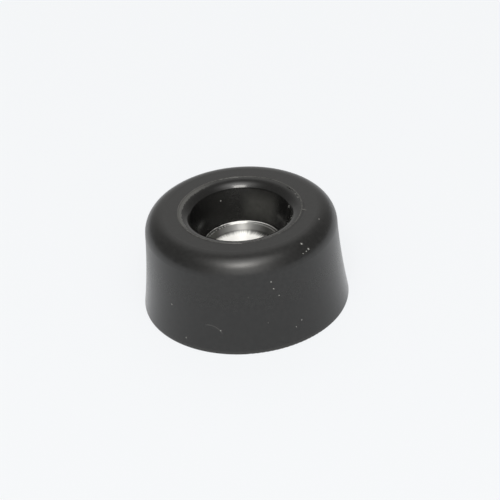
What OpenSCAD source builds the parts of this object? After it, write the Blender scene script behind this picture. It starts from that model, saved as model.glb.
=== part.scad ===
// Screw-on rubber foot, standing on its wide mounting face, with a steel cup
// washer moulded into the floor of its screw recess. Millimetres; the origin
// is the centre of the mounting face, and +Z runs up the foot's axis.

/* [Rubber foot] */
// Diameter across the mounting face
base_d = 38; // [34:0.5:60]
// Height from the mounting face to the flat top land
height = 18.7; // [14:0.1:30]
// Lean of the outer wall from upright, in degrees
wall_draft = 4.8; // [2:0.1:9]
// How far the outer wall is hollowed halfway up
wall_hollow = 0.35; // [0.1:0.05:0.6]
// Radius of the shoulder between the outer wall and the top land
shoulder_r = 3.6; // [1:0.1:5]
// Radius that breaks the edge of the mounting face
base_edge_r = 0.25; // [0.1:0.05:1]

/* [Screw recess] */
// Depth from the top land to the ledge round the cup's rim
recess_depth = 7.15; // [5:0.05:9]
// Width of that ledge, where the mould's core pin shuts off against the cup
ledge_w = 0.2; // [0.1:0.05:1.2]
// Diameter of the recess at the crisp edge where its wall meets the mouth
recess_d = 18.4; // [16:0.1:21]
// Radius of the mouth's rounding
mouth_r = 2.5; // [1:0.1:4]
// How far the rounding turns between that edge and the top land, in degrees
mouth_turn = 55; // [30:1:75]
// Width of the witness bead that the mould's core pin leaves round the mouth
witness_w = 0.3; // [0.25:0.05:0.5]
// Height of the witness bead above the top land
witness_h = 0.1; // [0.05:0.01:0.12]

/* [Cup washer] */
// Outer diameter of the cup
cup_d = 14.7; // [12:0.1:15.5]
// Depth inside the cup, from its rim to its floor
cup_depth = 1.9; // [1.4:0.05:4]
// Thickness of the steel sheet
sheet_t = 0.8; // [0.5:0.05:1.2]
// Inside radius of the drawn bend at the cup's floor
bend_r = 0.5; // [0.2:0.05:0.8]
// Radius on both edges of the rim
rim_edge_r = 0.15; // [0.05:0.05:0.2]
// Bond line between the cup's wall and the rubber round it
bond_gap = 0.05; // [0.02:0.01:0.2]

/* [Screw hole] */
// Diameter of the screw hole in the cup's floor
screw_hole_d = 5.2; // [3.5:0.1:6.5]
// How far the rubber stands back from the edge of that hole
hole_setback = 0.4; // [0.1:0.05:1]

/* [Hidden] */
$fn = 144;

// How far cutters and corner pieces run past the faces that they meet
past = 1;
// How far a rounding arc stands proud of its edges, so that it crosses them
proud = 0.0005;
// The same for the shoulder, which meets the very large arc of the outer wall
shoulder_proud = 0.002;
// How far the mouth's cutter reaches down into the space of the cone
lap = 0.01;

base_r = base_d / 2;
base_corner = [base_r, 0];
top_corner = [base_r - height * tan(wall_draft), height];

// The hollow outer wall is an arc that bows inwards between those two corners
wall_r = (pow(norm(top_corner - base_corner) / 2, 2) + pow(wall_hollow, 2)) / (2 * wall_hollow);
wall_centre = (base_corner + top_corner) / 2
    + [cos(wall_draft), sin(wall_draft)] * (wall_r - wall_hollow);
wall_foot = base_corner + quarter_turn(wall_centre - base_corner);

// The shoulder is an arc that touches that arc and the top land. Its corner is
// where its two end tangents would meet.
shoulder_z = height - shoulder_r;
shoulder_rise = wall_centre.y - shoulder_z;
shoulder_centre = [wall_centre.x - sqrt(pow(wall_r + shoulder_r, 2) - pow(shoulder_rise, 2)), shoulder_z];
shoulder_out = unit(wall_centre - shoulder_centre);
shoulder_end = shoulder_centre + shoulder_out * shoulder_r;
shoulder_corner = shoulder_centre + (shoulder_out + [0, 1]) * shoulder_r / (1 + shoulder_out.y);

cup_r = cup_d / 2;
cup_inner_r = cup_r - sheet_t;
ledge_z = height - recess_depth;
ledge_corner = [cup_r + bond_gap + ledge_w, ledge_z];
mouth_centre = [recess_d / 2 + mouth_r * sin(mouth_turn), height - mouth_r + proud];
mouth_edge = mouth_centre + [-sin(mouth_turn), cos(mouth_turn)] * mouth_r;
cup_floor_z = ledge_z - cup_depth;
cup_seat_z = cup_floor_z - sheet_t;
screw_hole_r = screw_hole_d / 2;

function unit(v) = v / norm(v);

function quarter_turn(v) = [-v.y, v.x];

// Half the angle of the corner at tip, whose edges leave towards a and b
function half_angle(tip, a, b) = acos(unit(a - tip) * unit(b - tip)) / 2;

// The piece of that corner that lies outside its arc of radius r. It runs past
// both edges, so that it cuts the corner off cleanly.
module corner_piece(tip, a, b, r, by = proud) {
    half = half_angle(tip, a, b);
    reach = (r - by) / tan(half);
    centre = tip + unit(unit(a - tip) + unit(b - tip)) * (r - by) / sin(half);
    ends = [tip + unit(a - tip) * reach, tip, tip + unit(b - tip) * reach];
    difference() {
        polygon(concat([centre], [for (p = ends) centre + (p - centre) * (1 + past / r)]));
        translate(centre) circle(r = r);
    }
}

// Half section of the outside of the foot
module foot_section() {
    difference() {
        square([base_r + past, height]);
        translate(wall_centre) circle(r = wall_r, $fn = 1440);
        corner_piece(base_corner, [0, 0], wall_foot, base_edge_r);
        corner_piece(shoulder_corner, shoulder_end, [0, height], shoulder_r, shoulder_proud);
    }
}

// Half section of the space inside the recess: a cone up from the ledge, and
// the rounded mouth that spreads from its upper edge to the top land
module recess_section() {
    cone_end = mouth_edge + unit(mouth_edge - ledge_corner) * past;
    polygon([[0, ledge_z], ledge_corner, cone_end, [0, cone_end.y]]);
    difference() {
        translate([0, mouth_edge.y - lap]) square([mouth_centre.x, height + past - mouth_edge.y]);
        translate(mouth_centre) circle(r = mouth_r);
    }
}

// Section of the fine bead along the line where the mouth meets the top land
module witness_section() {
    bead_r = (pow(witness_w / 2, 2) + pow(witness_h, 2)) / (2 * witness_h);
    translate([mouth_centre.x, height + witness_h - bead_r]) circle(r = bead_r);
}

// Half section of the cup's outside up to top_z, grown sideways by gap
module cup_outline(gap, top_z) {
    side_r = cup_r + gap;
    corner = [side_r, cup_seat_z];
    difference() {
        polygon([[0, cup_seat_z], corner, [side_r, top_z], [0, top_z]]);
        corner_piece(corner, [0, cup_seat_z], [side_r, top_z], bend_r + sheet_t + gap);
    }
}

// Half section of the space inside the cup
module cup_hollow() {
    corner = [cup_inner_r, cup_floor_z];
    above = [cup_inner_r, ledge_z + past];
    difference() {
        polygon([[0, cup_floor_z], corner, above, [0, above.y]]);
        corner_piece(corner, [0, cup_floor_z], above, bend_r);
    }
}

// The moulded rubber: a drafted block with a rounded shoulder, the screw
// recess, the pocket that holds the cup and the passage for the screw's shank
module rubber_body() {
    color("#3a3a39")
    rotate_extrude() {
        difference() {
            foot_section();
            recess_section();
            cup_outline(bond_gap, ledge_z + past);
            translate([0, -past]) square([screw_hole_r + hole_setback, height]);
        }
        witness_section();
    }
}

// The cup washer: sheet steel drawn into a shallow cup, flush with the ledge
module cup_washer() {
    outer_rim = [cup_r, ledge_z];
    inner_rim = [cup_inner_r, ledge_z];
    color("#c4c6c8")
    rotate_extrude()
    difference() {
        cup_outline(0, ledge_z);
        cup_hollow();
        corner_piece(outer_rim, inner_rim, [cup_r, cup_seat_z], rim_edge_r);
        corner_piece(inner_rim, outer_rim, [cup_inner_r, cup_floor_z], rim_edge_r);
        translate([0, cup_seat_z - past]) square([screw_hole_r, height]);
    }
}

rubber_body();
cup_washer();
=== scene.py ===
"""The looks of a screw-on rubber foot with a cup washer moulded into its recess.

The foot stands on its wide mounting face, with the screw recess facing up. Every
length is in metres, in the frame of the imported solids, unless a docstring says
millimetres. An azimuth is in degrees round the foot's axis: 0 faces the lens, and
90 faces to the lens's right.
"""

import logging
import math
from dataclasses import dataclass
from enum import Enum
from functools import partial, reduce
from typing import ClassVar, Union

import bpy
from mathutils import Matrix, Vector


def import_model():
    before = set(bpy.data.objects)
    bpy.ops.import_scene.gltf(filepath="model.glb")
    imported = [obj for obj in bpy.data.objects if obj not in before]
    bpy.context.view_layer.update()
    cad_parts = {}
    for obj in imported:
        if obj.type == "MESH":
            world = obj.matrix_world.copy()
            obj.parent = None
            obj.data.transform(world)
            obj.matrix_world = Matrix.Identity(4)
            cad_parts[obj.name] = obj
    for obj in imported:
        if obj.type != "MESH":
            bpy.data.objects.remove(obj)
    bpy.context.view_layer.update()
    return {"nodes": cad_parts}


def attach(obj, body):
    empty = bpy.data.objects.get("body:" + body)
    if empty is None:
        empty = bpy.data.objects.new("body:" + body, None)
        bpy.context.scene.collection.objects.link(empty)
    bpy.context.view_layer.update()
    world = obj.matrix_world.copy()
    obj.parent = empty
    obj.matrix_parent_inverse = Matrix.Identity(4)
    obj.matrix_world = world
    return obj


MM = 0.001
BODY = "root"

# A length too short to matter
HAIR = 1e-7

# The usual range of a noise, which seldom leaves it
NOISE_LOW = 0.3
NOISE_HIGH = 0.7

Node = bpy.types.Node
Socket = bpy.types.NodeSocket
Colour = tuple[float, float, float, float]
Number = Union[Socket, float]
Triple = Union[Socket, Vector, tuple[float, float, float]]
Fed = Union[Number, Triple, Colour]

log = logging.getLogger("rubber_foot")


def linear(red: float, green: float, blue: float) -> Colour:
    """Turn a screen colour into a scene colour, by the standard screen curve.

    Args:
        red, green, blue: The colour's channels on a screen, from 0 to 255.

    Returns:
        The same colour in linear light, with an alpha of 1.
    """
    channels = [c / 255 for c in (red, green, blue)]
    lit = [c / 12.92 if c <= 0.04045 else ((c + 0.055) / 1.055) ** 2.4 for c in channels]
    return (*lit, 1.0)


def bearing(azimuth: float, elevation: float = 0.0) -> Vector:
    """Turn an azimuth and an elevation, in degrees, into a direction."""
    turn, rise = math.radians(azimuth), math.radians(elevation)
    return Vector((math.sin(turn) * math.cos(rise), -math.cos(turn) * math.cos(rise), math.sin(rise)))


def place_at(azimuth: float, radius: float, height: float) -> Vector:
    """Turn an azimuth, a radius and a height into a place.

    Args:
        azimuth: Degrees round the foot's axis.
        radius: Millimetres from the axis.
        height: Millimetres above the mounting face.

    Returns:
        The place, in metres.
    """
    place = bearing(azimuth) * radius * MM
    place.z = height * MM
    return place


class Op(Enum):
    """Arithmetic on numbers, by the name of the Math node's setting."""

    ADD = "ADD"
    SUBTRACT = "SUBTRACT"
    MULTIPLY = "MULTIPLY"
    DIVIDE = "DIVIDE"
    ABSOLUTE = "ABSOLUTE"
    MAXIMUM = "MAXIMUM"
    LESS = "LESS_THAN"
    POWER = "POWER"


class VectorOp(Enum):
    """Arithmetic on vectors, by the name of the Vector Math node's setting."""

    SUBTRACT = "SUBTRACT"
    MULTIPLY = "MULTIPLY"
    SCALE = "SCALE"
    UNIT = "NORMALIZE"
    LENGTH = "LENGTH"
    DOT = "DOT_PRODUCT"
    DISTANCE = "DISTANCE"


class Mixed(Enum):
    """What a Mix node mixes: its setting, and the places of its first input and its output."""

    NUMBERS = ("FLOAT", 2, 0)
    COLOURS = ("RGBA", 6, 2)


class Kind(Enum):
    """What a node group's socket carries."""

    NUMBER = "NodeSocketFloat"
    VECTOR = "NodeSocketVector"


@dataclass(frozen=True)
class Fade:
    """The edge of a mark: how far from some origin its strength is 0, and where it becomes 1."""

    none: float
    full: float


@dataclass(frozen=True)
class Span:
    """A range of azimuths, in degrees: full up to an angle off its middle, then fading softly."""

    azimuth: float
    full: float
    fade: float


class Graph:
    """A shader node tree that is wired up one node at a time."""

    def __init__(self, tree: bpy.types.NodeTree) -> None:
        """Take a node tree."""
        self.tree = tree

    def node(self, kind: str, **settings: object) -> Node:
        """Add a node.

        Args:
            kind: The node's type, without its ShaderNode prefix where it has one.
            settings: The node's own settings, by name.

        Returns:
            The new node.
        """
        made = self.tree.nodes.new(kind if kind.startswith("Node") else "ShaderNode" + kind)
        for name, value in settings.items():
            setattr(made, name, value)
        return made

    def feed(self, socket: Socket, value: Fed) -> None:
        """Give an input its value.

        Args:
            socket: The input.
            value: An output to link it to, or a plain value to set it to.
        """
        if isinstance(value, Socket):
            self.tree.links.new(value, socket)
        else:
            socket.default_value = value

    def maths(self, op: Op, first: Number, second: Number = 0.0) -> Socket:
        """Do one piece of arithmetic on numbers.

        Args:
            op: The arithmetic.
            first, second: The numbers, in the order in which the arithmetic takes them.

        Returns:
            The result.
        """
        made = self.node("Math", operation=op.value)
        self.feed(made.inputs[0], first)
        self.feed(made.inputs[1], second)
        return made.outputs[0]

    def product(self, *factors: Number) -> Number:
        """Multiply two or more numbers."""
        return reduce(partial(self.maths, Op.MULTIPLY), factors)

    def most(self, *values: Number) -> Number:
        """Take the largest of two or more numbers."""
        return reduce(partial(self.maths, Op.MAXIMUM), values)

    def gap(self, first: Number, second: Number) -> Socket:
        """Measure how far apart two numbers are."""
        return self.maths(Op.ABSOLUTE, self.maths(Op.SUBTRACT, first, second))

    def ramp(self, value: Number, low: float, high: float, bottom: Number = 0.0, top: Number = 1.0) -> Socket:
        """Carry a number from one range over to another.

        Args:
            value: The number.
            low, high: The range that it comes from. Past its ends the result is held.
            bottom, top: What low and high become.

        Returns:
            The number in its new range.
        """
        made = self.node("MapRange")
        for socket, number in zip(made.inputs, (value, low, high, bottom, top)):
            self.feed(socket, number)
        return made.outputs["Result"]

    def fade(self, value: Number, edge: Fade, origin: float = 0.0) -> Socket:
        """Give the strength of a mark at one of its edges, counted from an origin."""
        return self.ramp(value, origin + edge.none, origin + edge.full)

    def waver(self, noise: Socket, bottom: float, top: float) -> Socket:
        """Spread the usual range of a noise from bottom to top."""
        return self.ramp(noise, NOISE_LOW, NOISE_HIGH, bottom, top)

    def band(self, value: Number, low: float, high: float, fade: float) -> Socket:
        """Give 1 inside a range and 0 outside it.

        Args:
            value: The number to test.
            low, high: The range.
            fade: How far outside the range the result takes to fall to 0.

        Returns:
            The strength, from 0 to 1.
        """
        rise = self.ramp(value, low - fade, low)
        fall = self.ramp(value, high, high + fade, 1.0, 0.0)
        return self.product(rise, fall)

    def vectors(self, op: VectorOp, *terms: Triple) -> Node:
        """Do one piece of arithmetic on vectors.

        Args:
            op: The arithmetic.
            terms: The vectors, in the order in which the arithmetic takes them.

        Returns:
            The node, which gives a vector or a number.
        """
        made = self.node("VectorMath", operation=op.value)
        for socket, term in zip(made.inputs, terms):
            self.feed(socket, term)
        return made

    def dot(self, first: Triple, second: Triple) -> Socket:
        """Work out the dot product of two vectors."""
        return self.vectors(VectorOp.DOT, first, second).outputs["Value"]

    def distance(self, first: Triple, second: Triple) -> Socket:
        """Measure the distance between two places."""
        return self.vectors(VectorOp.DISTANCE, first, second).outputs["Value"]

    def length(self, vector: Triple) -> Socket:
        """Measure a vector."""
        return self.vectors(VectorOp.LENGTH, vector).outputs["Value"]

    def unit(self, vector: Triple) -> Socket:
        """Give a vector's direction."""
        return self.vectors(VectorOp.UNIT, vector).outputs["Vector"]

    def subtracted(self, first: Triple, second: Triple) -> Socket:
        """Take the second vector from the first."""
        return self.vectors(VectorOp.SUBTRACT, first, second).outputs["Vector"]

    def scaled(self, vector: Triple, factors: Triple) -> Socket:
        """Scale each of a vector's three parts by its own factor."""
        return self.vectors(VectorOp.MULTIPLY, vector, factors).outputs["Vector"]

    def grown(self, vector: Triple, factor: Number) -> Socket:
        """Scale a vector or a colour as a whole.

        Args:
            vector: The vector or colour.
            factor: What each of its parts is multiplied by.

        Returns:
            The scaled vector or colour.
        """
        made = self.vectors(VectorOp.SCALE, vector)
        self.feed(made.inputs["Scale"], factor)
        return made.outputs["Vector"]

    def sector(self, way: Triple, middle: Triple, full: float, fade: float) -> Socket:
        """Give 1 near a direction and 0 away from it.

        Args:
            way: The unit vector to test.
            middle: The direction that the sector is centred on.
            full: The angle off the middle, in degrees, up to which the result is 1.
            fade: The angle over which it then falls to 0.

        Returns:
            The strength, from 0 to 1.
        """
        made = self.node("MapRange", interpolation_type="SMOOTHSTEP")
        self.feed(made.inputs["Value"], self.dot(way, middle))
        made.inputs["From Min"].default_value = math.cos(math.radians(full + fade))
        made.inputs["From Max"].default_value = math.cos(math.radians(full))
        return made.outputs["Result"]

    def around(self, way: Triple, span: Span) -> Socket:
        """Give 1 in a span of azimuths and 0 away from it."""
        return self.sector(way, bearing(span.azimuth), span.full, span.fade)

    def mix(self, mixed: Mixed, share: Number, first: Fed, second: Fed) -> Socket:
        """Mix two values.

        Args:
            mixed: What they are.
            share: The second value's share, from 0 to 1.
            first, second: The values.

        Returns:
            The mixture.
        """
        data_type, start, result = mixed.value
        made = self.node("Mix", data_type=data_type)
        self.feed(made.inputs[0], share)
        self.feed(made.inputs[start], first)
        self.feed(made.inputs[start + 1], second)
        return made.outputs[result]

    def choose(self, share: Number, first: Number, second: Number) -> Socket:
        """Mix two numbers: the first where share is 0, the second where it is 1."""
        return self.mix(Mixed.NUMBERS, share, first, second)

    def blend(self, share: Number, first: Fed, second: Fed) -> Socket:
        """Mix two colours: the first where share is 0, the second where it is 1."""
        return self.mix(Mixed.COLOURS, share, first, second)

    def noise(self, place: Triple, scale: Number, detail: float = 2.0) -> Socket:
        """Scatter soft blotches.

        Args:
            place: Where to read them.
            scale: How many of them lie along a metre.
            detail: How many times finer blotches are added.

        Returns:
            Their strength, from 0 to 1.
        """
        made = self.node("TexNoise")
        self.feed(made.inputs["Scale"], scale)
        made.inputs["Detail"].default_value = detail
        self.feed(made.inputs["Vector"], place)
        return made.outputs["Fac"]

    def bump(self, height: Socket, depth: float) -> Socket:
        """Turn a height into a normal.

        Args:
            height: The height, from 0 to 1.
            depth: What a height of 1 stands for.

        Returns:
            The normal.
        """
        made = self.node("Bump")
        made.inputs["Distance"].default_value = depth
        self.feed(made.inputs["Height"], height)
        return made.outputs["Normal"]

    def effect(self, effect: "Effect", **values: Fed) -> Node:
        """Place a shared effect.

        Args:
            effect: The effect.
            values: What its inputs are fed with, by their names.

        Returns:
            The node that holds it.
        """
        made = self.node("Group", node_tree=effect.tree)
        for name, value in values.items():
            self.feed(made.inputs[name], value)
        return made


@dataclass(frozen=True)
class Turned:
    """Where the point being shaded lies on a turned part."""

    place: Socket
    y: Socket
    height: Socket
    radius: Socket
    way: Socket

    @classmethod
    def read(cls, graph: Graph, centre: Triple = (0, 0, 0)) -> "Turned":
        """Read the point off its Object coordinates.

        Args:
            graph: The tree to read it in.
            centre: The centre that the part was turned about.

        Returns:
            The point's place, and its Y, height, radius and direction about the centre.
        """
        place = graph.subtracted(graph.node("TexCoord").outputs["Object"], centre)
        parts = graph.node("SeparateXYZ")
        graph.feed(parts.inputs[0], place)
        flat = graph.scaled(place, (1, 1, 0))
        return cls(place, parts.outputs["Y"], parts.outputs["Z"], graph.length(flat), graph.unit(flat))


class Effect:
    """A shader node group that more than one finish may use."""

    def __init__(self, name: str, inputs: dict[str, Kind], outputs: tuple[str, ...]) -> None:
        """Make the group and its sockets.

        Args:
            name: The group's name.
            inputs: What each input carries, by its name.
            outputs: The names of the outputs, each of them a number.
        """
        self.tree = bpy.data.node_groups.new(name, "ShaderNodeTree")
        for label, kind in inputs.items():
            self.tree.interface.new_socket(name=label, in_out="INPUT", socket_type=kind.value)
        for label in outputs:
            self.tree.interface.new_socket(name=label, in_out="OUTPUT", socket_type=Kind.NUMBER.value)
        self.graph = Graph(self.tree)
        self.given = self.graph.node("NodeGroupInput").outputs
        self.result = self.graph.node("NodeGroupOutput").inputs


class Dust(Effect):
    """Sparse pale specks, each in its own cell of a scatter."""

    INPUTS = {"Place": Kind.VECTOR, "Spacing": Kind.NUMBER, "Size": Kind.NUMBER, "Share": Kind.NUMBER}

    def __init__(self) -> None:
        """Build the group, whose Share is the part of the cells that hold a speck."""
        super().__init__("dust", self.INPUTS, ("Mask",))
        graph = self.graph
        scale = graph.maths(Op.DIVIDE, 1.0, self.given["Spacing"])
        cells = graph.node("TexVoronoi")
        graph.feed(cells.inputs["Vector"], self.given["Place"])
        graph.feed(cells.inputs["Scale"], scale)
        draw = graph.node("SeparateColor")
        graph.feed(draw.inputs[0], cells.outputs["Color"])
        reach = graph.product(self.given["Size"], scale, draw.outputs["Green"])
        inside = graph.maths(Op.LESS, cells.outputs["Distance"], reach)
        kept = graph.maths(Op.LESS, draw.outputs["Red"], self.given["Share"])
        graph.feed(self.result["Mask"], graph.product(inside, kept))


class Grain(Effect):
    """Fine grain for a bump, and broad soft blotches for a tone."""

    BLOTCH = 14.0
    FINE_DETAIL = 3.0
    BROAD_DETAIL = 2.0

    def __init__(self) -> None:
        """Build the group, in which a blotch is BLOTCH grains across."""
        super().__init__("grain", {"Place": Kind.VECTOR, "Size": Kind.NUMBER}, ("Fine", "Broad"))
        graph, place = self.graph, self.given["Place"]
        scale = graph.maths(Op.DIVIDE, 1.0, self.given["Size"])
        broad = graph.product(scale, 1 / self.BLOTCH)
        graph.feed(self.result["Fine"], graph.noise(place, scale, self.FINE_DETAIL))
        graph.feed(self.result["Broad"], graph.noise(place, broad, self.BROAD_DETAIL))


def new_material(name: str) -> tuple[bpy.types.Material, Graph, Node]:
    """Make a material that holds a lone Principled shader.

    Args:
        name: The material's name.

    Returns:
        The material, its graph and its Principled shader.
    """
    material = bpy.data.materials.new(name)
    material.use_nodes = True
    graph = Graph(material.node_tree)
    return material, graph, material.node_tree.nodes["Principled BSDF"]


@dataclass(frozen=True)
class BoreWall:
    """The recess's drafted wall, darkened by painted shade, with painted light from the cup on its back."""

    # Painted shade: the wall's own tone is darker than the rest of the rubber, standing for the recess's
    # shade.
    tone: Colour = linear(14, 14, 14)
    # Painted light: a paler tone on the back wall, and a paler patch of it, stand for the cup's light falling
    # there.
    painted_cup_light_tone: Colour = linear(31, 31, 30)
    painted_light_patch_tone: Colour = linear(57, 57, 55)
    roughness: float = 0.22
    drop: Fade = Fade(none=0.0, full=-0.3 * MM)
    inset: Fade = Fade(none=0.1 * MM, full=0.0)
    painted_cup_light_span: Span = Span(172, 14, 56)
    painted_light_patch_span: Span = Span(151, 2, 28)
    painted_light_patch_foot: float = 13.6 * MM
    painted_light_patch_top: float = 15.2 * MM
    painted_light_patch_fade: float = 2.4 * MM

    def mask(self, graph: Graph, spot: Turned, body: "RubberBody") -> Socket:
        """Find the wall: it lies below the mouth's crisp edge and inside it."""
        below = graph.fade(spot.height, self.drop, body.edge_z)
        return graph.product(below, graph.fade(spot.radius, self.inset, body.edge_r))

    def colour(self, graph: Graph, spot: Turned, wall: Socket, tone: Fed) -> Socket:
        """Colour the wall with its painted shade, and paint the cup's light on its back, brightest in a
        patch.

        Args:
            graph, spot: The tree, and the point being shaded.
            wall: The wall's mask.
            tone: The colour of the rest of the rubber.

        Returns:
            The colour of all the rubber.
        """
        tone = graph.blend(wall, tone, self.tone)
        # Painted light from the cup, on the back of the wall.
        painted_light_and_shade = graph.product(wall, graph.around(spot.way, self.painted_cup_light_span))
        tone = graph.blend(painted_light_and_shade, tone, self.painted_cup_light_tone)
        # Painted light: the patch where the cup's light is brightest.
        level = graph.band(spot.height, self.painted_light_patch_foot, self.painted_light_patch_top, self.painted_light_patch_fade)
        patch = graph.product(wall, graph.around(spot.way, self.painted_light_patch_span), level)
        return graph.blend(patch, tone, self.painted_light_patch_tone)


@dataclass(frozen=True)
class PaleBand:
    """A paler, rougher band on the left of the mouth's rounding, widest at its far end."""

    tone: Colour = linear(74, 74, 72)
    radius: float = 10.95 * MM
    span: Span = Span(-104, 22, 34)
    lift: Fade = Fade(none=17.9 * MM, full=18.1 * MM)
    near_y: float = -7 * MM
    near_half: float = 0.08 * MM
    far_y: float = 4 * MM
    far_half: float = 0.38 * MM
    border: Fade = Fade(none=0.18 * MM, full=0.0)
    bite_size: float = 0.6 * MM
    bite_depth: float = 0.12 * MM

    def mask(self, graph: Graph, spot: Turned) -> Socket:
        """Find the band.

        Args:
            graph, spot: The tree, and the point being shaded.

        Returns:
            The band's strength, with a ragged border.
        """
        bites = graph.waver(graph.noise(spot.place, 1 / self.bite_size), -self.bite_depth, self.bite_depth)
        off = graph.gap(graph.maths(Op.ADD, spot.radius, bites), self.radius)
        half = graph.ramp(spot.y, self.near_y, self.far_y, self.near_half, self.far_half)
        band = graph.fade(graph.maths(Op.SUBTRACT, off, half), self.border)
        return graph.product(band, graph.fade(spot.height, self.lift), graph.around(spot.way, self.span))


@dataclass(frozen=True)
class PaintedBeadHighlight:
    """A painted highlight on the crest of the witness bead, stronger in some stretches than in others."""

    width: Fade = Fade(none=0.2 * MM, full=0.1 * MM)
    lift: Fade = Fade(none=18.66 * MM, full=18.7 * MM)
    tear_size: float = 0.5 * MM
    tear_detail: float = 3.0
    tear_low: float = 0.35
    tear_high: float = 0.6
    least: float = 0.35

    def mask(self, graph: Graph, spot: Turned, body: "RubberBody") -> Socket:
        """Find the painted highlight on the crest.

        Args:
            graph, spot: The tree, and the point being shaded.
            body: The body that carries the bead.

        Returns:
            The highlight's strength, which changes along the bead.
        """
        bead_highlight = graph.fade(graph.gap(spot.radius, body.witness_r), self.width)
        tears = graph.noise(spot.place, 1 / self.tear_size, self.tear_detail)
        torn = graph.ramp(tears, self.tear_low, self.tear_high, self.least, 1.0)
        return graph.product(bead_highlight, graph.fade(spot.height, self.lift), torn)


@dataclass(frozen=True)
class PaintedShadeLine:
    """A fine dark line of painted shade that runs outside the witness bead on its near right."""

    tone: Colour = linear(3, 3, 3)
    offset: float = 0.3 * MM
    width: Fade = Fade(none=0.24 * MM, full=0.08 * MM)
    span: Span = Span(66, 20, 14)

    def mask(self, graph: Graph, spot: Turned, body: "RubberBody") -> Socket:
        """Find the line of painted shade."""
        line = graph.fade(graph.gap(spot.radius, body.witness_r + self.offset), self.width)
        return graph.product(line, graph.around(spot.way, self.span))


@dataclass(frozen=True)
class Scratch:
    """A hair-fine scratch, curved like part of a ring, low on the front of the wall."""

    strength: float = 0.6
    centre_x: float = -7.0 * MM
    centre_z: float = 3.3 * MM
    radius: float = 2.35 * MM
    width: Fade = Fade(none=0.1 * MM, full=0.04 * MM)
    middle: float = 64.0
    full: float = 34.0
    fade: float = 14.0
    front: Fade = Fade(none=-10 * MM, full=-12 * MM)

    def mask(self, graph: Graph, spot: Turned) -> Socket:
        """Find the scratch.

        Args:
            graph, spot: The tree, and the point being shaded.

        Returns:
            The scratch's strength.
        """
        centre = (self.centre_x, 0, self.centre_z)
        offset = graph.scaled(graph.subtracted(spot.place, centre), (1, 0, 1))
        line = graph.fade(graph.gap(graph.length(offset), self.radius), self.width)
        turn = math.radians(self.middle)
        middle = (math.cos(turn), 0, math.sin(turn))
        ends = graph.sector(graph.unit(offset), middle, self.full, self.fade)
        return graph.product(line, ends, graph.fade(spot.y, self.front), self.strength)


@dataclass(frozen=True)
class Fleck:
    """A speck of dust that lies on the rubber: its azimuth, and millimetres."""

    azimuth: float
    radius: float
    height: float
    size: float

    def seat(self, body: bpy.types.Object) -> Vector:
        """Find the place on the body's surface that is nearest to the fleck."""
        return body.closest_point_on_mesh(place_at(self.azimuth, self.radius, self.height))[1]


@dataclass(frozen=True)
class DustLayer:
    """Dust on the rubber: flecks at known places, and a sparse scatter of finer specks."""

    tone: Colour = linear(132, 132, 129)
    roughness: float = 0.9
    inner_share: float = 0.4
    outer_share: float = 0.6
    bite_size: float = 0.12 * MM
    bite_detail: float = 1.0
    bite_low: float = 0.6
    bite_high: float = 1.3
    spacing: float = 1.6 * MM
    speck_size: float = 0.11 * MM
    speck_share: float = 0.2
    speck_strength: float = 0.3

    def mask(self, graph: Graph, spot: Turned, seats: list[tuple[Vector, float]], dust: Dust) -> Socket:
        """Find the dust.

        Args:
            graph, spot: The tree, and the point being shaded.
            seats: Where each fleck lies, and its size.
            dust: The shared scatter of specks.

        Returns:
            The dust's strength. The flecks have ragged edges.
        """
        bites = graph.noise(spot.place, 1 / self.bite_size, self.bite_detail)
        bites = graph.waver(bites, self.bite_low, self.bite_high)
        flecks = 0.0
        for place, size in seats:
            away = graph.product(graph.distance(spot.place, place), bites)
            fleck = graph.ramp(away, size * self.outer_share, size * self.inner_share)
            flecks = graph.most(flecks, fleck)
        specks = graph.effect(
            dust, Place=spot.place, Spacing=self.spacing, Size=self.speck_size, Share=self.speck_share
        )
        return graph.most(flecks, graph.product(specks.outputs["Mask"], self.speck_strength))


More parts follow.
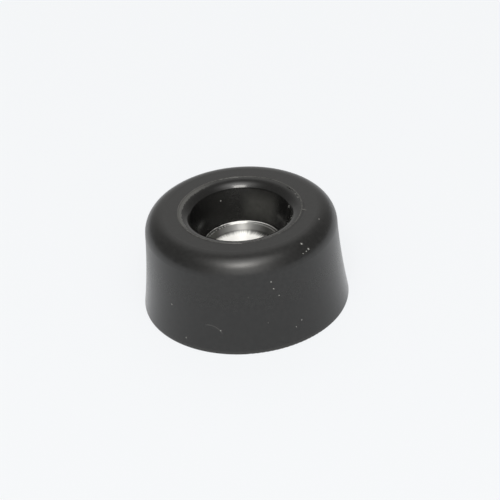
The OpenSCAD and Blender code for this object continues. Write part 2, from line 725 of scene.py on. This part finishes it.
@dataclass(frozen=True)
class RubberFinish:
    """Satin black rubber, smoother where the mould's polished core pin shaped it."""

    tone: Colour = linear(25.5, 25.5, 25)
    # Painted light: the lowest part of the wall is paler, standing for light from the floor.
    painted_floor_light_tone: Colour = linear(44, 44, 43)
    # The real scratch's paler tone, also used for the painted highlight on the witness bead's crest.
    scratch_and_bead_highlight_tone: Colour = linear(70, 70, 68)
    foot: Fade = Fade(none=0.9 * MM, full=0.2 * MM)
    mottle: float = 0.22
    core_mottle: float = 0.088
    wall_roughness: float = 0.22
    wall_z: float = 5 * MM
    shoulder_roughness: float = 0.32
    shoulder_z: float = 15.4 * MM
    core_roughness: float = 0.12
    core_border: float = 0.1 * MM
    marked_roughness: float = 0.42
    roughness_spread: float = 0.02
    grain_size: float = 0.05 * MM
    grain_depth: float = 0.0025 * MM
    bore: BoreWall = BoreWall()
    painted_shade_line: PaintedShadeLine = PaintedShadeLine()
    pale_band: PaleBand = PaleBand()
    bead_highlight: PaintedBeadHighlight = PaintedBeadHighlight()
    scratch: Scratch = Scratch()
    dust: DustLayer = DustLayer()

    def material(
        self, body: "RubberBody", seats: list[tuple[Vector, float]], dust: Dust, grain: Grain
    ) -> bpy.types.Material:
        """Build the rubber's material.

        Args:
            body: The body whose marks the finish carries.
            seats: Where each placed fleck lies, and its size.
            dust, grain: The shared effects.

        Returns:
            The material.
        """
        made, graph, shader = new_material("moulded_rubber")
        spot = Turned.read(graph)
        texture = graph.effect(grain, Place=spot.place, Size=self.grain_size)
        wall = self.bore.mask(graph, spot, body)
        pale_band = self.pale_band.mask(graph, spot)
        bead_highlight = self.bead_highlight.mask(graph, spot, body)
        scratch = self.scratch.mask(graph, spot)
        dusty = self.dust.mask(graph, spot, seats, dust)
        border = Fade(none=-self.core_border, full=self.core_border)
        outside = graph.fade(spot.radius, border, body.witness_r)

        mottle = graph.choose(outside, self.core_mottle, self.mottle)
        shade = graph.product(mottle, graph.waver(texture.outputs["Broad"], -1.0, 1.0))
        shade = graph.maths(Op.ADD, 1.0, shade)
        # The recess wall's painted shade, with the cup's painted light on its back.
        tone = graph.grown(self.bore.colour(graph, spot, wall, self.tone), shade)
        # Painted shade: a dark line outside the witness bead on its near right.
        tone = graph.blend(self.painted_shade_line.mask(graph, spot, body), tone, self.painted_shade_line.tone)
        # Painted light from the floor, paler towards the base.
        tone = graph.blend(graph.fade(spot.height, self.foot), tone, self.painted_floor_light_tone)
        tone = graph.blend(pale_band, tone, self.pale_band.tone)
        # Painted highlight on the witness bead's crest, and the real scratch, in the same paler tone.
        tone = graph.blend(graph.most(bead_highlight, scratch), tone, self.scratch_and_bead_highlight_tone)
        graph.feed(shader.inputs["Base Color"], graph.blend(dusty, tone, self.dust.tone))

        skin = graph.ramp(
            spot.height, self.wall_z, self.shoulder_z, self.wall_roughness, self.shoulder_roughness
        )
        satin = graph.choose(outside, self.core_roughness, skin)
        satin = graph.choose(wall, satin, self.bore.roughness)
        uneven = graph.waver(texture.outputs["Broad"], -self.roughness_spread, self.roughness_spread)
        satin = graph.maths(Op.ADD, satin, uneven)
        satin = graph.choose(graph.most(pale_band, bead_highlight), satin, self.marked_roughness)
        graph.feed(shader.inputs["Roughness"], graph.choose(dusty, satin, self.dust.roughness))
        graph.feed(shader.inputs["Normal"], graph.bump(texture.outputs["Fine"], self.grain_depth))
        return made


@dataclass
class RubberBody:
    """The moulded rubber: where its witness bead, its mouth's crisp edge and its flecks lie."""

    witness_r: float = 11.25 * MM
    edge_r: float = 9.2 * MM
    edge_z: float = 17.63 * MM
    flecks: tuple[Fleck, ...] = (
        Fleck(40.7, 15.9, 18.1, 0.32),
        Fleck(42.8, 16.9, 17.1, 0.32),
        Fleck(69.5, 14.9, 18.55, 0.2),
        Fleck(40.7, 17.0, 17.0, 0.2),
        Fleck(38.0, 17.0, 16.9, 0.16),
        Fleck(14.8, 17.6, 13.9, 0.22),
        Fleck(15.9, 17.6, 12.4, 0.2),
        Fleck(18.8, 17.7, 10.8, 0.16),
        Fleck(-156.9, 8.7, 15.8, 0.24),
        Fleck(-48.2, 18.0, 7.4, 0.22),
        Fleck(-37.4, 18.7, 1.9, 0.2),
        Fleck(-16.0, 18.3, 4.8, 0.22),
        Fleck(30.9, 18.4, 4.4, 0.18),
        Fleck(26.9, 18.5, 3.5, 0.18),
    )

    def dress(self, body: bpy.types.Object, dust: Dust, grain: Grain) -> None:
        """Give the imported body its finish.

        Args:
            body: The body.
            dust, grain: The shared effects.
        """
        seats = [(fleck.seat(body), fleck.size * MM) for fleck in self.flecks]
        body.data.materials[0] = RubberFinish().material(self, seats, dust, grain)
        log.info("%s: dressed, with %d placed flecks of dust", body.name, len(seats))


@dataclass(frozen=True)
class Frost:
    """The frosted floor of the cup, a little off centre, with a ragged edge of fine rays."""

    tone: Colour = linear(255, 255, 252)
    roughness: float = 0.6
    metal: float = 0.1
    shift: float = 0.5 * MM
    edge: float = 6.1 * MM
    border: Fade = Fade(none=0.6 * MM, full=-0.6 * MM)
    rise: Fade = Fade(none=0.35 * MM, full=0.1 * MM)
    ray_count: float = 34.0
    ray_depth: float = 0.35 * MM

    def mask(self, graph: Graph, cup: "CupWasher") -> Socket:
        """Find the frost.

        Args:
            graph: The tree to work in.
            cup: The cup whose floor is frosted.

        Returns:
            The frost's strength, which ends in the bend.
        """
        spot = Turned.read(graph, (-self.shift, 0, 0))
        rays = graph.noise(graph.scaled(spot.way, (self.ray_count, self.ray_count, 0)), 1.0)
        radius = graph.maths(Op.ADD, spot.radius, graph.waver(rays, -self.ray_depth, self.ray_depth))
        frost = graph.fade(radius, self.border, self.edge)
        return graph.product(frost, graph.fade(spot.height, self.rise, cup.floor_z))


@dataclass(frozen=True)
class PaintedRimHighlight:
    """A painted highlight on the rim's edge: a line round its outside, a faint one inside, and all of it at
    the back.
    """

    lift: Fade = Fade(none=-0.16 * MM, full=-0.1 * MM)
    line: Fade = Fade(none=-0.36 * MM, full=-0.28 * MM)
    line_span: Span = Span(180, 18, 45)
    line_least: float = 0.35
    lip_outer: float = -0.6 * MM
    lip_inner: float = -0.68 * MM
    lip_strength: float = 0.3
    back_span: Span = Span(184, 8, 10)

    def mask(self, graph: Graph, spot: Turned, cup: "CupWasher") -> Socket:
        """Find the painted highlight.

        Args:
            graph, spot: The tree, and the point being shaded.
            cup: The cup whose rim it is.

        Returns:
            The highlight's strength.
        """
        line = graph.fade(spot.radius, self.line, cup.rim_r)
        shown = graph.choose(graph.around(spot.way, self.line_span), self.line_least, 1.0)
        lip_outer, lip_inner = cup.rim_r + self.lip_outer, cup.rim_r + self.lip_inner
        lip = graph.ramp(spot.radius, lip_outer, lip_inner, 0.0, self.lip_strength)
        back = graph.around(spot.way, self.back_span)
        bright = graph.most(graph.product(line, shown), lip, back)
        return graph.product(graph.fade(spot.height, self.lift, cup.rim_z), bright)


@dataclass(frozen=True)
class PaintedRimShade:
    """A dark line of painted shade round the rim's flat, left out at the back where the rim is lit, and dark
    ragged scraps on its left.
    """

    tone: Colour = linear(52, 52, 50)
    roughness: float = 0.5
    lift: Fade = Fade(none=-0.3 * MM, full=-0.2 * MM)
    line_inner: float = -0.52 * MM
    line_outer: float = -0.36 * MM
    line_fade: float = 0.1 * MM
    line_strength: float = 0.85
    bare_span: Span = Span(184, 22, 22)
    scrap_size: float = 0.3 * MM
    scrap_low: float = 0.42
    scrap_high: float = 0.55
    scrap_span: Span = Span(-125, 24, 14)

    def mask(self, graph: Graph, spot: Turned, cup: "CupWasher") -> Socket:
        """Find the painted shade and the scraps.

        Args:
            graph, spot: The tree, and the point being shaded.
            cup: The cup whose rim it covers.

        Returns:
            The strength of the painted shade and the scraps.
        """
        scraps = graph.ramp(graph.noise(spot.place, 1 / self.scrap_size), self.scrap_low, self.scrap_high)
        scraps = graph.product(scraps, graph.around(spot.way, self.scrap_span))
        inner, outer = cup.rim_r + self.line_inner, cup.rim_r + self.line_outer
        line = graph.band(spot.radius, inner, outer, self.line_fade)
        covered = graph.maths(Op.SUBTRACT, 1.0, graph.around(spot.way, self.bare_span))
        line = graph.product(line, covered, self.line_strength)
        return graph.product(graph.fade(spot.height, self.lift, cup.rim_z), graph.most(scraps, line))


@dataclass(frozen=True)
class SteelFinish:
    """Bright drawn steel: painted shade darkens its wall but for the back, and it is frosted on its floor."""

    wall_tone: Colour = linear(180, 180, 179)
    # Painted shade on the cup's wall, left out only at its back.
    painted_shade_tone: Colour = linear(112, 112, 110)
    lit_back_span: Span = Span(181, 14, 34)
    bend_low: float = 0.15 * MM
    bend_high: float = 0.35 * MM
    bend_fade: float = 0.15 * MM
    bend_lit: float = 0.35
    wall_roughness: float = 0.5
    roughness_spread: float = 0.03
    grain_size: float = 0.06 * MM
    ring_pitch: float = 0.11 * MM
    ring_depth: float = 0.003 * MM
    drawn_lines: float = 1.0
    drawn_turn: float = 0.25
    frost: Frost = Frost()
    painted_rim_highlight: PaintedRimHighlight = PaintedRimHighlight()
    painted_light_and_shade: PaintedRimShade = PaintedRimShade()

    def lit_back(self, graph: Graph, spot: Turned, cup: "CupWasher") -> Socket:
        """Find the back of the wall, left bright, which the painted shade reaches into along the bend.

        Args:
            graph, spot: The tree, and the point being shaded.
            cup: The cup whose wall it is.

        Returns:
            How far the wall is left free of painted shade, from 0 to 1.
        """
        low, high = cup.floor_z + self.bend_low, cup.floor_z + self.bend_high
        bend = graph.band(spot.height, low, high, self.bend_fade)
        shade_in_bend = graph.ramp(bend, 0.0, 1.0, 1.0, self.bend_lit)
        return graph.product(graph.around(spot.way, self.lit_back_span), shade_in_bend)

    def rings(self, graph: Graph, spot: Turned) -> Socket:
        """Give the height of the fine rings that drawing left round the cup.

        Args:
            graph, spot: The tree, and the point being shaded.

        Returns:
            The height, from 0 to 1.
        """
        rings = graph.node("TexNoise", noise_dimensions="1D")
        graph.feed(rings.inputs["W"], graph.maths(Op.SUBTRACT, spot.radius, spot.height))
        rings.inputs["Scale"].default_value = 1 / self.ring_pitch
        return rings.outputs["Fac"]

    def material(self, cup: "CupWasher", grain: Grain) -> bpy.types.Material:
        """Build the steel's material.

        Args:
            cup: The cup whose marks the finish carries.
            grain: The shared effect.

        Returns:
            The material.
        """
        made, graph, shader = new_material("drawn_steel")
        spot = Turned.read(graph)
        texture = graph.effect(grain, Place=spot.place, Size=self.grain_size)
        # Pale: the frosted floor, and the painted highlight on the rim's edge.
        pale = graph.most(self.frost.mask(graph, cup), self.painted_rim_highlight.mask(graph, spot, cup))
        # Painted shade on the rim's flat, and dark scraps on its left.
        painted_light_and_shade = self.painted_light_and_shade.mask(graph, spot, cup)

        # Painted shade: the wall is darker everywhere but at its back.
        tone = graph.blend(self.lit_back(graph, spot, cup), self.painted_shade_tone, self.wall_tone)
        tone = graph.blend(pale, tone, self.frost.tone)
        graph.feed(shader.inputs["Base Color"], graph.blend(painted_light_and_shade, tone, self.painted_light_and_shade.tone))
        metal = graph.choose(graph.most(pale, painted_light_and_shade), 1.0, self.frost.metal)
        graph.feed(shader.inputs["Metallic"], metal)

        satin = graph.choose(pale, self.wall_roughness, self.frost.roughness)
        uneven = graph.waver(texture.outputs["Broad"], -self.roughness_spread, self.roughness_spread)
        satin = graph.maths(Op.ADD, satin, uneven)
        graph.feed(shader.inputs["Roughness"], graph.choose(painted_light_and_shade, satin, self.painted_light_and_shade.roughness))
        graph.feed(shader.inputs["Normal"], graph.bump(self.rings(graph, spot), self.ring_depth))

        shader.inputs["Anisotropic"].default_value = self.drawn_lines
        shader.inputs["Anisotropic Rotation"].default_value = self.drawn_turn
        round_axis = graph.node("Tangent", direction_type="RADIAL", axis="Z")
        graph.feed(shader.inputs["Tangent"], round_axis.outputs["Tangent"])
        return made


@dataclass
class CupWasher:
    """The steel cup: where its rim and its floor lie."""

    rim_r: float = 7.35 * MM
    rim_z: float = 11.55 * MM
    floor_z: float = 9.65 * MM

    def dress(self, cup: bpy.types.Object, grain: Grain) -> None:
        """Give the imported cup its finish."""
        cup.data.materials[0] = SteelFinish().material(self, grain)
        log.info("%s: dressed", cup.name)


@dataclass(frozen=True)
class TornFinish:
    """Dry torn rubber, paler than the moulded skin."""

    tone: Colour = linear(78, 78, 76)
    darkest: float = 0.6
    lightest: float = 1.3
    roughness: float = 0.5
    grain_size: float = 0.04 * MM
    grain_depth: float = 0.01 * MM

    def material(self, grain: Grain) -> bpy.types.Material:
        """Build the torn rubber's material.

        Args:
            grain: The shared effect.

        Returns:
            The material.
        """
        made, graph, shader = new_material("torn_rubber")
        place = graph.node("TexCoord").outputs["Object"]
        texture = graph.effect(grain, Place=place, Size=self.grain_size)
        shade = graph.waver(texture.outputs["Fine"], self.darkest, self.lightest)
        plain = graph.node("RGB")
        plain.outputs[0].default_value = self.tone
        graph.feed(shader.inputs["Base Color"], graph.grown(plain.outputs[0], shade))
        shader.inputs["Roughness"].default_value = self.roughness
        graph.feed(shader.inputs["Normal"], graph.bump(texture.outputs["Fine"], self.grain_depth))
        return made


@dataclass(frozen=True)
class Shred:
    """A shred of rubber that tore as the core pin left the mouth, in degrees and millimetres.

    azimuth, radius and height say where it lies. turn is its angle from the ring's own
    direction. The capitals are shares of its length, width or thickness, or a count.
    """

    azimuth: float
    radius: float
    height: float
    length: float
    width: float
    thickness: float
    turn: float = 0.0

    MIDDLE_LENGTH: ClassVar[float] = 0.4
    TIP_LENGTH: ClassVar[float] = 0.3
    TIP_SWAY: ClassVar[float] = 0.12
    TIP_DIP: ClassVar[float] = 0.2
    TIP_WIDTH: ClassVar[float] = 0.35
    TIP_THICKNESS: ClassVar[float] = 0.45
    ROUNDING: ClassVar[float] = 0.22
    ROUNDING_STEPS: ClassVar[int] = 2
    SUNK: ClassVar[float] = 0.1

    def seat(self, body: bpy.types.Object) -> Matrix:
        """Find the shred's place: its length along the ring, its thickness out of the surface.

        Args:
            body: The body that the shred lies on.

        Returns:
            The shred's turn and place.
        """
        aim = place_at(self.azimuth, self.radius, self.height)
        _, place, out, _ = body.closest_point_on_mesh(aim)
        along = bearing(self.azimuth + 90)
        along = (along - out * along.dot(out)).normalized()
        turned = Matrix((along, out.cross(along), out)).transposed().to_4x4()
        sunk = place - out * self.thickness * MM * self.SUNK
        return Matrix.Translation(sunk) @ turned @ Matrix.Rotation(math.radians(self.turn), 4, "Z")

    def model(self, body: bpy.types.Object, name: str) -> bpy.types.Object:
        """Model the shred: a bar that is drawn out to a torn tip at both ends and rounded.

        Args:
            body: The body that the shred lies on.
            name: The new piece's name.

        Returns:
            The piece.
        """
        bpy.ops.object.select_all(action="DESELECT")
        bpy.ops.mesh.primitive_cube_add(size=1.0)
        shred = bpy.context.object
        shred.name = name
        middle = self.length * self.MIDDLE_LENGTH * MM
        shred.dimensions = (middle, self.width * MM, self.thickness * MM)
        bpy.ops.object.transform_apply(location=False, rotation=False, scale=True)
        for side in (-1, 1):
            self.draw_tip(shred, side)
        rounding = self.ROUNDING * MM * min(self.width, self.thickness)
        bpy.ops.object.mode_set(mode="EDIT")
        bpy.ops.mesh.select_all(action="SELECT")
        bpy.ops.mesh.bevel(offset=rounding, segments=self.ROUNDING_STEPS, affect="EDGES")
        bpy.ops.mesh.normals_make_consistent(inside=False)
        bpy.ops.object.mode_set(mode="OBJECT")
        bpy.ops.object.shade_smooth()
        shred.matrix_world = self.seat(body)
        bpy.ops.object.transform_apply(location=True, rotation=True, scale=True)
        return shred

    def draw_tip(self, shred: bpy.types.Object, side: int) -> None:
        """Draw one end out to a tip that is narrower and thinner, and dips to the surface.

        Args:
            shred: The bar.
            side: 1 for the end that faces along X, -1 for the other.
        """
        faces = shred.data.polygons
        for item in (*shred.data.vertices, *shred.data.edges, *faces):
            item.select = False
        reach = max(face.center.x * side for face in faces)
        for face in faces:
            face.select = face.center.x * side > reach - HAIR
        bpy.ops.object.mode_set(mode="EDIT")
        bpy.ops.mesh.select_mode(type="FACE")
        out = side * self.length * self.TIP_LENGTH * MM
        sway = side * self.TIP_SWAY * self.width * MM
        dip = -self.TIP_DIP * self.thickness * MM
        bpy.ops.mesh.extrude_region_move(TRANSFORM_OT_translate={"value": (out, sway, dip)})
        bpy.ops.transform.resize(value=(1, self.TIP_WIDTH, self.TIP_THICKNESS))
        bpy.ops.object.mode_set(mode="OBJECT")


@dataclass
class TornFlash:
    """The shreds that the core pin left on the right of the mouth."""

    shreds: tuple[Shred, ...] = (
        Shred(101, 9.15, 17.3, 0.75, 0.5, 0.35, turn=30),
        Shred(80.5, 11.55, 18.75, 1.3, 0.3, 0.22, turn=80),
        Shred(110, 10.97, 18.7, 0.6, 0.34, 0.18),
        Shred(103.5, 10.95, 18.7, 0.6, 0.34, 0.18, turn=15),
        Shred(121, 10.9, 18.65, 2.3, 0.2, 0.16),
        Shred(68, 9.9, 18.2, 0.45, 0.3, 0.2),
        Shred(71.5, 9.95, 18.2, 0.35, 0.26, 0.18),
        Shred(57, 10.0, 18.3, 0.4, 0.26, 0.18),
    )

    def build(self, body: bpy.types.Object, grain: Grain) -> None:
        """Model every shred and dress it.

        Args:
            body: The body that the shreds lie on.
            grain: The shared effect.
        """
        finish = TornFinish().material(grain)
        for number, shred in enumerate(self.shreds, 1):
            piece = shred.model(body, f"torn_shred_{number}")
            piece.data.materials.append(finish)
            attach(piece, BODY)
            log.info("%s: %.2f mm long", piece.name, shred.length)


@dataclass(frozen=True)
class PaperFinish:
    """A pale sweep that keeps only a faint shadow of what stands on it."""

    tone: Colour = linear(243.4, 245.2, 247.2)
    glow: float = 0.85

    def material(self) -> bpy.types.Material:
        """Build the sweep's material.

        Returns:
            The material: paper to the light, and mostly a plain glow to the lens and to gloss.
        """
        made = bpy.data.materials.new("pale_sweep")
        made.use_nodes = True
        graph = Graph(made.node_tree)
        made.node_tree.nodes.clear()
        lit = graph.node("BsdfDiffuse")
        lit.inputs["Color"].default_value = self.tone
        plain = graph.node("Emission")
        plain.inputs["Color"].default_value = self.tone
        rays = graph.node("LightPath")
        seen = graph.most(rays.outputs["Is Camera Ray"], rays.outputs["Is Glossy Ray"])
        mixed = graph.node("MixShader")
        graph.feed(mixed.inputs[0], graph.product(seen, self.glow))
        graph.feed(mixed.inputs[1], lit.outputs[0])
        graph.feed(mixed.inputs[2], plain.outputs[0])
        out = graph.node("OutputMaterial")
        graph.feed(out.inputs["Surface"], mixed.outputs[0])
        return made


@dataclass(frozen=True)
class Glow:
    """A soft patch of the room's light: full at its middle, fading evenly round it."""

    azimuth: float
    elevation: float
    strength: float
    power: float

    def shade(self, graph: Graph, direction: Socket) -> Socket:
        """Work out the patch's strength in a direction."""
        front = graph.most(graph.dot(direction, bearing(self.azimuth, self.elevation)), 0.0)
        return graph.product(graph.maths(Op.POWER, front, self.power), self.strength)


@dataclass(frozen=True)
class KeyLamp:
    """A soft rectangular lamp that hangs above the lens, turned to the foot."""

    azimuth: float = -4.0
    elevation: float = 51.2
    distance: float = 0.5
    width: float = 0.175
    depth: float = 0.18
    brightness: float = 8.5
    tone: Colour = linear(255, 252, 246)

    def hang(self) -> None:
        """Hang the lamp, its energy worked out from its brightness and its size."""
        way = bearing(self.azimuth, self.elevation)
        bpy.ops.object.light_add(type="AREA", location=way * self.distance)
        lamp = bpy.context.object
        lamp.name = "key_lamp"
        lamp.data.shape = "RECTANGLE"
        lamp.data.size = self.width
        lamp.data.size_y = self.depth
        lamp.data.energy = self.brightness * math.pi * self.width * self.depth
        lamp.data.color = self.tone[:3]
        lamp.rotation_euler = way.to_track_quat("Z", "Y").to_euler()


@dataclass
class Studio:
    """A pale sweep in a dim soft room, with cards in front, above and behind, and a key lamp."""

    sweep_side: float = 8.0
    day_tone: Colour = linear(255, 254, 252)
    room_strength: float = 0.26
    low_card: Glow = Glow(azimuth=0.0, elevation=20.0, strength=2.1, power=8.0)
    high_card: Glow = Glow(azimuth=0.0, elevation=65.0, strength=4.1, power=16.0)
    back_wall: Glow = Glow(azimuth=180.0, elevation=10.0, strength=0.42, power=6.0)
    back_card: Glow = Glow(azimuth=180.0, elevation=52.0, strength=0.69, power=20.0)
    key: KeyLamp = KeyLamp()

    def lay_sweep(self) -> None:
        """Lay the floor that the foot stands on."""
        bpy.ops.mesh.primitive_plane_add(size=self.sweep_side)
        floor = bpy.context.object
        floor.name = "floor"
        floor.data.materials.append(PaperFinish().material())

    def hang_daylight(self) -> None:
        """Surround the foot with the room's soft light, which the lens sees as plain white."""
        world = bpy.data.worlds.new("soft_room")
        bpy.context.scene.world = world
        world.use_nodes = True
        graph = Graph(world.node_tree)
        world.node_tree.nodes.clear()
        direction = graph.node("TexCoord").outputs["Generated"]
        room = self.room_strength
        for card in (self.low_card, self.high_card, self.back_wall, self.back_card):
            room = graph.maths(Op.ADD, room, card.shade(graph, direction))
        seen = graph.choose(graph.node("LightPath").outputs["Is Camera Ray"], room, 1.0)
        sky = graph.node("Background")
        sky.inputs["Color"].default_value = self.day_tone
        graph.feed(sky.inputs["Strength"], seen)
        out = graph.node("OutputWorld")
        graph.feed(out.inputs["Surface"], sky.outputs[0])

    def build(self) -> None:
        """Set up the whole studio."""
        self.lay_sweep()
        self.hang_daylight()
        self.key.hang()
        bpy.context.scene.view_settings.view_transform = "Standard"
        log.info("studio: the sweep, the soft room and the key lamp are up")


@dataclass
class Lens:
    """A long lens that looks down at the foot, turned a little about its own axis."""

    elevation: float = 33.43
    roll: float = 4.58
    distance: float = 342 * MM
    focal_mm: float = 132.21
    sensor_mm: float = 36.0
    aim_right: float = 0.60 * MM
    aim_up: float = 8.16 * MM
    clip_near: float = 0.01
    clip_far: float = 50.0

    def build(self) -> None:
        """Create the camera and make it the scene's own."""
        tilt, roll = math.radians(self.elevation), math.radians(self.roll)
        ahead = Vector((0, math.cos(tilt), -math.sin(tilt)))
        level = Vector((1, 0, 0))
        upright = Vector((0, math.sin(tilt), math.cos(tilt)))
        right = math.cos(roll) * level - math.sin(roll) * upright
        up = math.sin(roll) * level + math.cos(roll) * upright
        data = bpy.data.cameras.new("camera")
        data.lens = self.focal_mm
        data.sensor_width = self.sensor_mm
        data.clip_start = self.clip_near
        data.clip_end = self.clip_far
        camera = bpy.data.objects.new("camera", data)
        bpy.context.scene.collection.objects.link(camera)
        turn = Matrix((right, up, -ahead)).transposed().to_4x4()
        place = right * self.aim_right + up * self.aim_up - ahead * self.distance
        camera.matrix_world = Matrix.Translation(place) @ turn
        bpy.context.scene.camera = camera
        log.info("camera: %.0f mm away", self.distance / MM)


def main() -> None:
    """Dress the foot, light it and look at it."""
    logging.basicConfig(level=logging.INFO, format="%(name)s: %(message)s")
    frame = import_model()
    bpy.ops.object.select_all(action="DESELECT")
    rubber_body, cup_washer = frame["nodes"]["rubber_body"], frame["nodes"]["cup_washer"]
    dust, grain = Dust(), Grain()
    RubberBody().dress(rubber_body, dust, grain)
    CupWasher().dress(cup_washer, grain)
    TornFlash().build(rubber_body, grain)
    Studio().build()
    Lens().build()


if __name__ == "__main__":
    main()
